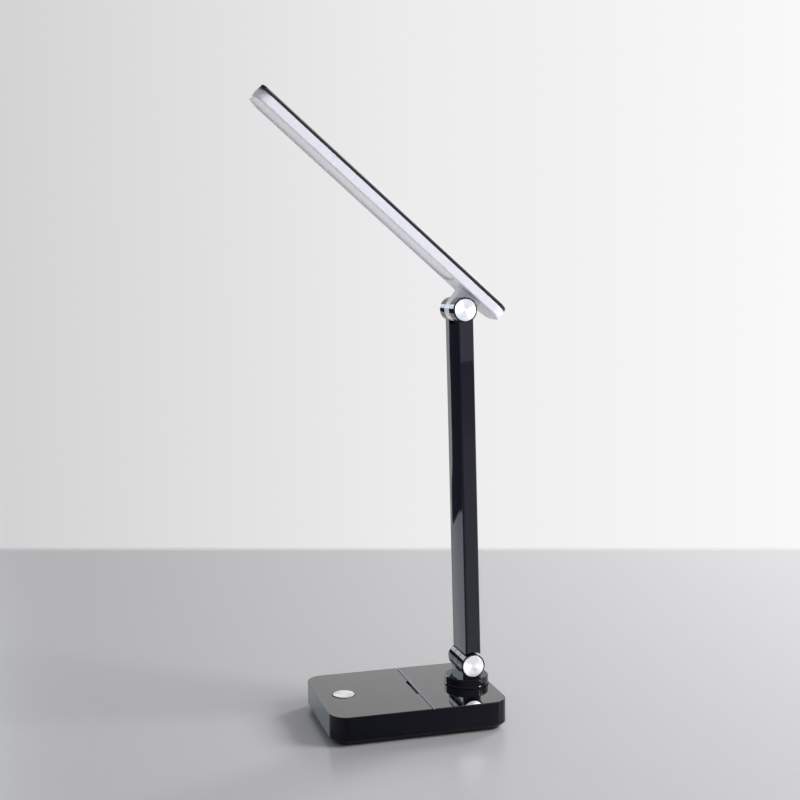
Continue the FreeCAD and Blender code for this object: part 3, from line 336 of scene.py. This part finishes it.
# %% Finishes on the CAD nodes
FINISHES = {
    BASE_BLACK: ("base_housing", "front_panel", "bottom_cover"),
    PIANO_BLACK: ("swivel_fork", "head_top_cover"),
    ARM_BLACK: ("arm_housing", "arm_rear_cover"),
    MATT_BLACK: ("button_plunger", "tact_switch", "slip_washer", "lower_friction_washers",
                 "upper_friction_washers"),
    HEAD_WHITE: ("head_frame",),
    NECK_PAINTED_LIGHT_WHITE: ("head_bracket",),
    MILKY_AND_PAINTED_LIGHT: ("diffuser",),
    STEEL: ("bottom_screws", "arm_screws", "bracket_screws", "lower_hinge_pin", "upper_hinge_pin",
            "spring_washer", "swivel_nut", "charging_socket", "ballast_plate"),
    RUBBER: ("grip_pad",),
    BOARD_GREEN: ("control_board", "charging_board"),
    BOARD_WHITE: ("led_board",),
    CHIP: ("led_chips",),
    FOIL: ("battery_cell",),
    WIRE_RED: ("arm_wires",),
}
for material, names in FINISHES.items():
    for name in names:
        mesh = nodes[name].data
        mesh.materials.clear()
        mesh.materials.append(material)
print("finished", sum(len(names) for names in FINISHES.values()), "nodes")

# %% [markdown]
# ## Spun discs
# The hinge ends and the button are turned aluminium. A lathe leaves rings, and rings spread a reflection
# into wedges that stand still while the disc turns. The grooves are too fine to model one by one. So each
# disc is a surface of revolution whose UV map runs round the rings, and the shader stretches its highlight
# along that map.

# %% Spun aluminium
def spun_aluminium():
    """A metal with rings of lathe grooves, which stretch its highlight along the UV map."""
    material, tree = finish_named("spun_aluminium", Metallic=1.0, Anisotropic=0.8)
    ring = put(tree, "ShaderNodeUVMap", uv_map="rings")
    parts = put(tree, "ShaderNodeSeparateXYZ", {0: ring.outputs[0]})
    across = put(tree, "ShaderNodeCombineXYZ", {"Y": parts.outputs["Y"]})
    groove = put(tree, "ShaderNodeTexNoise", {"Vector": across.outputs[0], "Scale": 90.0, "Detail": 4.0})
    bump = put(tree, "ShaderNodeBump", {"Height": groove.outputs[0], "Distance": 0.003 * MM})
    tangent = put(tree, "ShaderNodeTangent", direction_type="UV_MAP", uv_map="rings")
    feed(tree, Base_Color=tint(tree, groove.outputs[0], (0.88, 0.88, 0.89), (0.97, 0.97, 0.98)),
         Roughness=between(tree, groove.outputs[0], 0.24, 0.38), Normal=bump.outputs[0],
         Tangent=tangent.outputs[0])
    return material


SPUN = spun_aluminium()
print("made", SPUN.name)


# %% Faces and map of a turned surface
def turned_faces(rings, steps):
    """Quads between the rings, and a fan of triangles from the first and from the last ring to its tip."""
    row = np.arange(steps)
    after = (row + 1) % steps
    base = np.arange(rings - 1)[:, None] * steps
    quads = np.stack((base + row, base + after, base + steps + after, base + steps + row), -1).reshape(-1, 4)
    low, high, last = rings * steps, rings * steps + 1, (rings - 1) * steps
    fans = np.concatenate((np.stack((np.full(steps, low), after, row), -1),
                           np.stack((np.full(steps, high), last + row, last + after), -1)))
    return quads, fans


def map_rings(mesh, turn, reach):
    """A UV map: the share of the turn is U, the share of the radius V. A face across the seam goes on past
    U = 1."""
    corner, size = np.zeros(len(mesh.loops), int), np.zeros(len(mesh.polygons), int)
    mesh.loops.foreach_get("vertex_index", corner)
    mesh.polygons.foreach_get("loop_total", size)
    uv = np.stack((turn[corner % len(turn)], reach[corner % len(turn)]), -1)
    faces = np.repeat(np.arange(len(size)), size)
    top = np.zeros(len(size))
    np.maximum.at(top, faces, uv[:, 0])
    uv[(uv[:, 0] < 0.25) & (top[faces] > 0.75), 0] += 1
    mesh.uv_layers.new(name="rings").data.foreach_set("uv", uv.ravel())


print("three rings of four points:", [len(faces) for faces in turned_faces(3, 4)], "quads and triangles")

# %% Turned surface
TURN_STEPS = 128
SHARP_DEGREES = 30


def turned(name, radius, height, centres, axis, steps=TURN_STEPS):
    """Turns an outline about an axis, once at each centre: point = centre + height * axis
    + radius * (cos t * side + sin t * other), for t round the circle. Radius and height are grids over
    (outline, turn). Their first and last rows lie on the axis, so each end closes in a fan."""
    axis = np.array(axis, float)
    side = np.array((0, 1, 0) if abs(axis[0]) > 0.5 else (1, 0, 0), float)
    other = np.cross(axis, side)
    t = np.arange(steps) * 2 * np.pi / steps
    spoke = np.cos(t)[:, None] * side + np.sin(t)[:, None] * other
    radius, height, _ = np.broadcast_arrays(radius, height, t)
    rings = height[1:-1, :, None] * axis + radius[1:-1, :, None] * spoke
    tips = height[[0, -1], :1] * axis
    one = np.concatenate((rings.reshape(-1, 3), tips))
    quads, fans = turned_faces(len(rings), steps)
    shift = np.arange(len(centres))[:, None, None] * len(one)
    mesh = bpy.data.meshes.new(name)
    mesh.from_pydata((np.array(centres)[:, None] + one).reshape(-1, 3), [],
                     (quads + shift).reshape(-1, 4).tolist() + (fans + shift).reshape(-1, 3).tolist())
    reach = np.concatenate((radius[1:-1].ravel(), (0, 0))) / radius.max()
    turn = np.concatenate((np.tile(t, len(rings)), (0, 0))) / (2 * np.pi)
    map_rings(mesh, turn, reach)
    mesh.polygons.foreach_set("use_smooth", np.ones(len(mesh.polygons), bool))
    mesh.set_sharp_from_angle(angle=np.radians(SHARP_DEGREES))
    mesh.update()
    piece = bpy.data.objects.new(name, mesh)
    scene.collection.objects.link(piece)
    return piece


def stands_for(piece, node, body, material):
    """Gives a new piece its finish, and puts it in a CAD node's place on the node's body."""
    piece.data.materials.append(material)
    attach(piece, body)
    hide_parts(node)


print("a ring of a disc has", TURN_STEPS, "points")

# %% Discs
BEVEL_MM, DIP_MM = 0.25, 0.04


def cap_profile(thickness):
    """Back face, rim, bevel, then a face that dips a hair towards its centre: shares of the radius, and
    millimetres below the face."""
    return ((0, -thickness), (1, -thickness), (1, -BEVEL_MM), (0.967, 0), (0.9, 0),
            (0.5, -DIP_MM / 2), (0.02, -DIP_MM), (0, -DIP_MM))


def spun_piece(name, node, axis, body):
    """A spun disc in the place of a CAD node, as wide and as thick as the node's box."""
    low, high = (np.array(corner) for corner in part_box(node))
    axis = np.array(axis, float)
    thickness = abs((high - low) @ axis)
    radius = np.sort(high - low)[-1] / 2
    centre = (low + high) / 2 - axis * thickness / 2
    outline = np.array(cap_profile(thickness / MM))
    piece = turned(name, outline[:, :1] * radius, thickness + outline[:, 1:] * MM, [centre], axis)
    stands_for(piece, node, body, SPUN)


CAPS = {
    "lower_disc_right": ("lower_cap_right", (1, 0, 0), "swivel"),
    "lower_disc_left": ("lower_cap_left", (-1, 0, 0), "swivel"),
    "upper_disc_right": ("upper_cap_right", (1, 0, 0), "arm"),
    "upper_disc_left": ("upper_cap_left", (-1, 0, 0), "arm"),
    "button_disc": ("power_button", (0, 0, 1), "button"),
}
for name, (node, axis, body) in CAPS.items():
    spun_piece(name, node, axis, body)
print("spun discs", list(CAPS))

# %% [markdown]
# ## Screws
# Three kinds of screw hold the lamp together: at the rear of the arm, under the base and inside the head.
# Each has a cross cut into its head and a thread round its shank. Booleans could cut both, but one grid is
# simpler: over the outline and the turn, the cross is a dip in the height and the thread a ripple in the
# radius.

# %% Screw shape
SCREW_STEPS = 72
TOP_ROWS, ROWS_PER_PITCH = 16, 6
THREAD_DEPTH, TIP_SHARE = 0.22, 0.6


def screw_grid(head, head_height, shank, length):
    """A screw's radius and height over (outline, turn), from its end at -length to its top at 0.
    The cross sinks the top where x is within the slot's half width and y within its reach, or the other
    way round. The thread takes depth * |2 * frac(height / pitch - turn) - 1| off the shank's radius."""
    t = np.arange(SCREW_STEPS) * 2 * np.pi / SCREW_STEPS
    bevel, pitch = 0.12 * head, 0.6 * shank
    half_width, reach, depth, soft = 0.13 * head, 0.58 * head, 0.5 * head_height, 0.06 * head

    def inside(place, limit):
        return np.clip((limit - np.abs(place)) / soft + 0.5, 0, 1)

    across = np.linspace(head - bevel, 0, TOP_ROWS)[:, None]
    x, y = across * np.cos(t), across * np.sin(t)
    cross = np.maximum(inside(x, half_width) * inside(y, reach), inside(y, half_width) * inside(x, reach))
    rows = int((length - head_height) / pitch * ROWS_PER_PITCH)
    up = np.linspace(0.4 * bevel - length, -head_height, rows)[:, None]
    thread = shank * (1 - THREAD_DEPTH * np.abs(2 * ((up / pitch - t / (2 * np.pi)) % 1) - 1))
    even = np.ones_like(t)
    radius = np.concatenate(([0 * even, TIP_SHARE * shank * even], thread,
                             [shank * even, head * even, head * even], across * even))
    height = np.concatenate(([-length * even, -length * even], up * even,
                             [-head_height * even, -head_height * even, -bevel * even], -depth * cross))
    return radius * MM, height * MM


print("a ring of a screw has", SCREW_STEPS, "points, and a turn of thread", ROWS_PER_PITCH, "rings")

# %% Screws in their places
HEAD_TILT = np.radians(41.5)
HINGES = {joint["name"]: np.array(joint["pos_m"]) for joint in frame["joints"] if "pos_m" in joint}
LOWER_PIN, UPPER_PIN = HINGES["arm_fold"], HINGES["head_tilt"]
ARM_PITCH = np.linalg.norm(UPPER_PIN - LOWER_PIN)
arm_along = (UPPER_PIN - LOWER_PIN) / ARM_PITCH
arm_rear = np.cross(arm_along, (1, 0, 0))
head_along = np.array((0, np.cos(HEAD_TILT), -np.sin(HEAD_TILT)))
head_up = np.array((0, np.sin(HEAD_TILT), np.cos(HEAD_TILT)))
ARM_SCREW_INSET, ARM_SCREW_TOP = 19.5 * MM, 5.85 * MM
NECK_SCREW_TOP, NECK_SCREW_PLACES = 13.6 * MM, (-4.85 * MM, 4.15 * MM)
CASE_HEAD = 2.4

case_low, case_high = (np.array(corner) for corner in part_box("bottom_screws"))
case_x, case_y = case_high[:2] - CASE_HEAD * MM
arm_tops = [LOWER_PIN + arm_rear * ARM_SCREW_TOP + arm_along * place
            for place in (ARM_SCREW_INSET, ARM_PITCH - ARM_SCREW_INSET)]
neck_tops = [UPPER_PIN + head_up * NECK_SCREW_TOP + head_along * place for place in NECK_SCREW_PLACES]
case_tops = [(x, y, case_low[2]) for x in (-case_x, case_x) for y in (-case_y, case_y)]
SCREWS = {
    "arm_cross_screws": ("arm_screws", "arm", arm_rear, arm_tops, (2.0, 0.85, 1.0, 4.55)),
    "neck_cross_screws": ("bracket_screws", "head", head_up, neck_tops, (2.1, 1.2, 1.1, 6.4)),
    "case_cross_screws": ("bottom_screws", "base", (0, 0, -1), case_tops,
                          (CASE_HEAD, 1.4, 1.3, (case_high - case_low)[2] / MM)),
}
for name, (node, body, axis, tops, sizes) in SCREWS.items():
    piece = turned(name, *screw_grid(*sizes), tops, axis, SCREW_STEPS)
    stands_for(piece, node, body, STEEL)

# %% [markdown]
# ## Studio
# A grey table, painted a little darker to the left as shade where the light from the right falls off, and a
# pale wall, as plain as they can be. One curved sheet could be both, but the picture shows the table's far
# edge, so they are two. The wall is far enough away that the lamp's gloss mirrors it evenly, and it is its
# own light only for the rays that show it: the camera's and the reflections'. That glow is painted in steps
# of shade, darkest at the left of the view and paler towards the ends. The table is lit like any other
# surface, so that it keeps the lamp's shadow. Its far edge fades over a few millimetres, as an edge out of
# focus does.

# %% Sheets of the set
foot = CAMERA_PLACE * (1, 1, 0)


def spot(right, depth, height):
    """A place on the set: so far right of the camera's foot, so deep ahead of it, and so high."""
    return foot + right * level_right + depth * ahead + np.array((0, 0, height))


def stage_sheet(name, corners, material):
    """A flat sheet of the set through four corners."""
    mesh = bpy.data.meshes.new(name)
    mesh.from_pydata(np.array(corners), [], [(0, 1, 2, 3)])
    uv = np.array(((0, 0), (1, 0), (1, 1), (0, 1)), float)
    mesh.uv_layers.new(name="spread").data.foreach_set("uv", uv.ravel())
    mesh.materials.append(material)
    sheet = bpy.data.objects.new(name, mesh)
    scene.collection.objects.link(sheet)


def spread_shares(tree):
    """The shares across and along a sheet, from its map."""
    spread = put(tree, "ShaderNodeUVMap", uv_map="spread")
    return put(tree, "ShaderNodeSeparateXYZ", {0: spread.outputs[0]}).outputs


print("the camera stands over", np.round(foot, 3))

# %% Table
EDGE_MIDDLE, EDGE_SLOPE = 1.3992, -0.046
EDGE_FADE = 0.02
TABLE_HALF = 3.0
TABLE_FRONT = -2.0
# Painted shade: the table is darker to the left, where the light from the right falls off.
TABLE_PAINTED_SHADE = ((0.34, 0.335, 0.34), (0.36, 0.355, 0.36))
TABLE_PAINTED_LIGHT = ((0.43, 0.425, 0.43), (0.45, 0.445, 0.45))
PAINTED_SHADE_UNTIL, PAINTED_LIGHT_FROM = 0.38, 0.58


def table_finish(fade):
    """A grey laminate with a fine grain, painted darker to the left as shade where the light from the right
    falls off, which fades out over the last share of its depth."""
    material, tree = finish_named("table", IOR=1.45)
    noise = put(tree, "ShaderNodeTexNoise", {"Vector": object_place(tree), "Scale": 60.0, "Detail": 4.0})
    grain, share = noise.outputs[0], spread_shares(tree)
    dark, pale = (tint(tree, grain, *shades) for shades in (TABLE_PAINTED_SHADE, TABLE_PAINTED_LIGHT))
    feed(tree, Base_Color=tint(tree, ramp(tree, share["X"], PAINTED_SHADE_UNTIL, PAINTED_LIGHT_FROM), dark, pale),
         Roughness=between(tree, grain, 0.30, 0.35), Alpha=ramp(tree, share["Y"], 1.0, 1.0 - fade))
    return material


far_left, far_right = (EDGE_MIDDLE + EDGE_SLOPE * side for side in (-TABLE_HALF, TABLE_HALF))
stage_sheet("table", (spot(-TABLE_HALF, TABLE_FRONT, 0), spot(TABLE_HALF, TABLE_FRONT, 0),
                      spot(TABLE_HALF, far_right, 0), spot(-TABLE_HALF, far_left, 0)),
            table_finish(EDGE_FADE / (EDGE_MIDDLE - TABLE_FRONT)))
print("table's edge", round(far_left, 3), "m ahead at its left and", round(far_right, 3), "m at its right")

# %% Wall
WALL_DISTANCE = 3.2
WALL_LEFT, VIEW_LEFT, VIEW_RIGHT, WALL_RIGHT = -1.35, -1.0, 1.0, 6.0
WALL_LOW, WALL_HIGH = -1.2, 3.0
# Painted shade on the wall's glow: darkest at the left of the view, where the light from the right falls off.
WALL_PAINTED_SHADES = ((0.97, 0.97, 0.98), (0.648, 0.645, 0.646), (0.845, 0.832, 0.838), (0.952, 0.948, 0.951))


def wall_finish():
    """A pale wall that glows in painted shades, in a few steps: darkest at the left of the view and paler
    towards both ends.
    """
    material, tree = finish_named("wall", Roughness=0.9, Base_Color=(0.8, 0.8, 0.8, 1))
    across = spread_shares(tree)["X"]
    places = np.array((WALL_LEFT, VIEW_LEFT, 0, VIEW_RIGHT))
    stops = ((places - WALL_LEFT) / (WALL_RIGHT - WALL_LEFT)).tolist()
    shade = WALL_PAINTED_SHADES[0]
    for low, high, paler in zip(stops, stops[1:], WALL_PAINTED_SHADES[1:]):
        shade = tint(tree, ramp(tree, across, low, high), shade, paler)
    glow = put(tree, "ShaderNodeEmission", {"Color": shade})
    path = put(tree, "ShaderNodeLightPath").outputs
    shown = path["Is Camera Ray"]
    for label in ("Is Glossy Ray", "Is Transmission Ray"):
        shown = put(tree, "ShaderNodeMath", {0: shown, 1: path[label]}, operation="MAXIMUM").outputs[0]
    matt = tree.nodes["Principled BSDF"]
    mixed = put(tree, "ShaderNodeMixShader", {0: shown, 1: matt.outputs[0], 2: glow.outputs[0]})
    tree.links.new(mixed.outputs[0], tree.nodes["Material Output"].inputs["Surface"])
    return material


stage_sheet("wall", (spot(WALL_LEFT, WALL_DISTANCE, WALL_LOW), spot(WALL_RIGHT, WALL_DISTANCE, WALL_LOW),
                     spot(WALL_RIGHT, WALL_DISTANCE, WALL_HIGH), spot(WALL_LEFT, WALL_DISTANCE, WALL_HIGH)),
            wall_finish())
print("wall", WALL_DISTANCE, "m ahead,", round(WALL_RIGHT - WALL_LEFT, 2), "m long")

# %% [markdown]
# ## Light
# The room is pale all round and brightest behind the camera's right shoulder, apart from a dark doorway
# beside the wall. The gloss needs that contrast: the sides that face the bright half mirror it, and the front
# of the arm mirrors the doorway and stays dark. A whole room could be modelled for this, but a few soft
# patches by direction are enough. The lighting itself comes from soft windows. The one at the back gives
# light but doesn't show in the gloss. The one at the far left is bluish, and the end of the base picks up its
# glow. A weak card on the table, which the gloss doesn't mirror either, lifts the shade below the head.

# %% Room light
WINDOW_SIDE = 0.54 * level_right - 0.84 * ahead
DOORWAY = -0.68 * level_right + 0.73 * ahead
ROOM_DIM, ROOM_BRIGHT = (0.30, 0.31, 0.34), (0.95, 0.98, 1.08)
DOOR_DARK, CEILING = (0.045, 0.048, 0.06), (0.32, 0.32, 0.34)
ROOM_RANGE, DOOR_RANGE, CEILING_RANGE = (0.1, 0.95), (0.84, 0.94), (0.25, 1.0)


def facing(tree, place, direction):
    """How far a place on the sky lies towards a direction: dot(place, direction)."""
    return put(tree, "ShaderNodeVectorMath", {0: place, 1: tuple(direction)},
               operation="DOT_PRODUCT").outputs["Value"]


def room_light():
    """The room's glow by direction: from dim to bright as it faces the window side, then a dark doorway
    round its own direction in the same way, then a grey ceiling above."""
    world = bpy.data.worlds.new("room")
    scene.world = world
    world.use_nodes = True
    tree = world.node_tree
    place = put(tree, "ShaderNodeTexCoord").outputs["Generated"]
    glow = tint(tree, ramp(tree, facing(tree, place, WINDOW_SIDE), *ROOM_RANGE), ROOM_DIM, ROOM_BRIGHT)
    glow = tint(tree, ramp(tree, facing(tree, place, DOORWAY), *DOOR_RANGE), glow, DOOR_DARK)
    up = put(tree, "ShaderNodeSeparateXYZ", {0: place}).outputs["Z"]
    glow = tint(tree, ramp(tree, up, *CEILING_RANGE), glow, CEILING)
    tree.links.new(glow, tree.nodes["Background"].inputs["Color"])


room_light()
print("world", scene.world.name)

# %% Windows
LAMP_MIDDLE = (0, 0, 0.15)


def window(name, place, size, power, colour, towards=LAMP_MIDDLE, lights=True, mirrored=True):
    """A soft rectangular light at a place, facing another. It may light matt surfaces, show in gloss, or
    both."""
    light = bpy.data.lights.new(name, "AREA")
    light.shape = "RECTANGLE"
    light.size, light.size_y = size
    light.energy = power
    light.color = colour
    lamp = bpy.data.objects.new(name, light)
    out = (place - np.array(towards)) / np.linalg.norm(place - np.array(towards))
    side = np.cross(level_right if abs(out[2]) > 0.99 else (0, 0, 1), out)
    side /= np.linalg.norm(side)
    lamp.matrix_world = placed(side, np.cross(out, side), out, place)
    lamp.visible_camera = False
    lamp.visible_diffuse, lamp.visible_glossy = lights, mirrored
    scene.collection.objects.link(lamp)


DAYLIGHT, BLUISH, CARD_WHITE = (1, 0.99, 0.98), (0.78, 0.9, 1.0), (0.97, 0.98, 1)
CARD = spot(-0.15, 0.85, 0.004)
ABOVE_CARD = CARD + np.array((0, 0, 1))
window("window_main", spot(1.35, -0.4, 1.3), (0.9, 0.9), 44, DAYLIGHT, lights=False)
window("window_right", spot(1.5, 0.6, 1.0), (0.7, 0.9), 31, DAYLIGHT)
window("window_back", spot(1.3, 2.2, 1.1), (0.6, 0.8), 28, DAYLIGHT, mirrored=False)
window("window_left", spot(-1.1, 2.4, 0.65), (0.5, 0.6), 3.4, BLUISH)
window("card_below", CARD, (0.6, 1.0), 1.2, CARD_WHITE, towards=ABOVE_CARD, mirrored=False)
print("lights", [item.name for item in bpy.data.lights])
